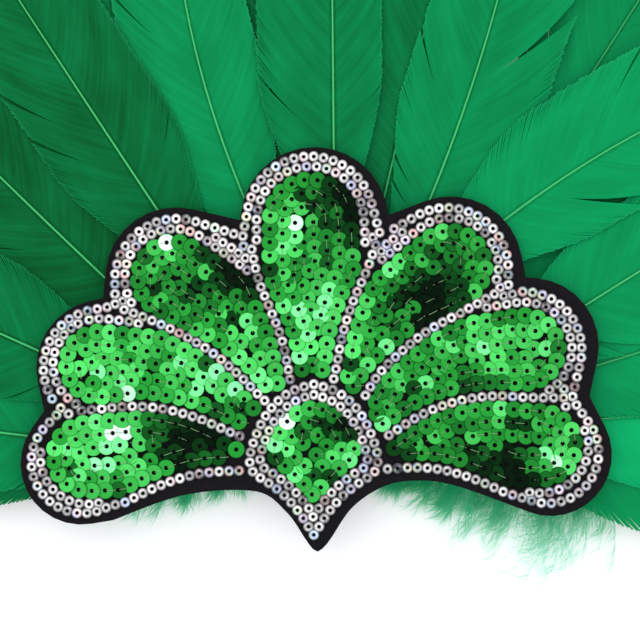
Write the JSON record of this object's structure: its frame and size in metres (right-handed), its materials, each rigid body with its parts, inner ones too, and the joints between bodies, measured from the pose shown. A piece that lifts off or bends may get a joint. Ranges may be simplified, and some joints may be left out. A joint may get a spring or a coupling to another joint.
{
  "type": "carnival feather headdress",
  "caption": "Carnival headdress lying face up: dyed green feathers fanned behind a scalloped black felt applique covered with green and silver sequins, on an elastic head band.",
  "frame": {"origin": "middle of the bottom of the whole headdress, on the surface that it lies on", "axes": "+Z out of the front of the applique, +Y towards the top of the fan, +X to the right of the front view"},
  "size_m": [0.4234, 0.2618, 0.019],
  "materials": {
    "felt": "matte wool felt",
    "green_sequins": "metallic green film, glossy",
    "silver_sequins": "iridescent silver film, glossy",
    "thread": "pale sewing thread",
    "front_feather": "dyed goose feather, soft sheen",
    "back_feather": "dyed goose feather, soft sheen",
    "down": "dyed down, matte",
    "elastic": "woven elastic, matte"
  },
  "bodies": {
    "root": {"head_strap": "elastic", "back_felt": "felt", "feather_back_1": "back_feather", "feather_back_2": "back_feather", "feather_back_3": "back_feather", "feather_back_4": "back_feather", "feather_back_5": "back_feather", "feather_back_6": "back_feather", "feather_back_7": "back_feather", "feather_back_8": "back_feather", "feather_back_9": "back_feather", "feather_back_10": "back_feather", "feather_back_11": "back_feather", "feather_front_1": "front_feather", "feather_front_2": "front_feather", "feather_front_3": "front_feather", "feather_front_4": "front_feather", "feather_front_5": "front_feather", "feather_front_6": "front_feather", "feather_front_7": "front_feather", "feather_front_8": "front_feather", "feather_front_9": "front_feather", "feather_front_10": "front_feather", "down_left": "down", "down_right": "down", "applique_felt": "felt", "sequins_lower_left": "green_sequins", "sequins_mid_left": "green_sequins", "sequins_upper_left": "green_sequins", "sequins_top": "green_sequins", "sequins_upper_right": "green_sequins", "sequins_mid_right": "green_sequins", "sequins_lower_right": "green_sequins", "trim_petals": "silver_sequins", "trim_drop": "silver_sequins", "sequins_drop": "green_sequins"}
  },
  "joints": []
}
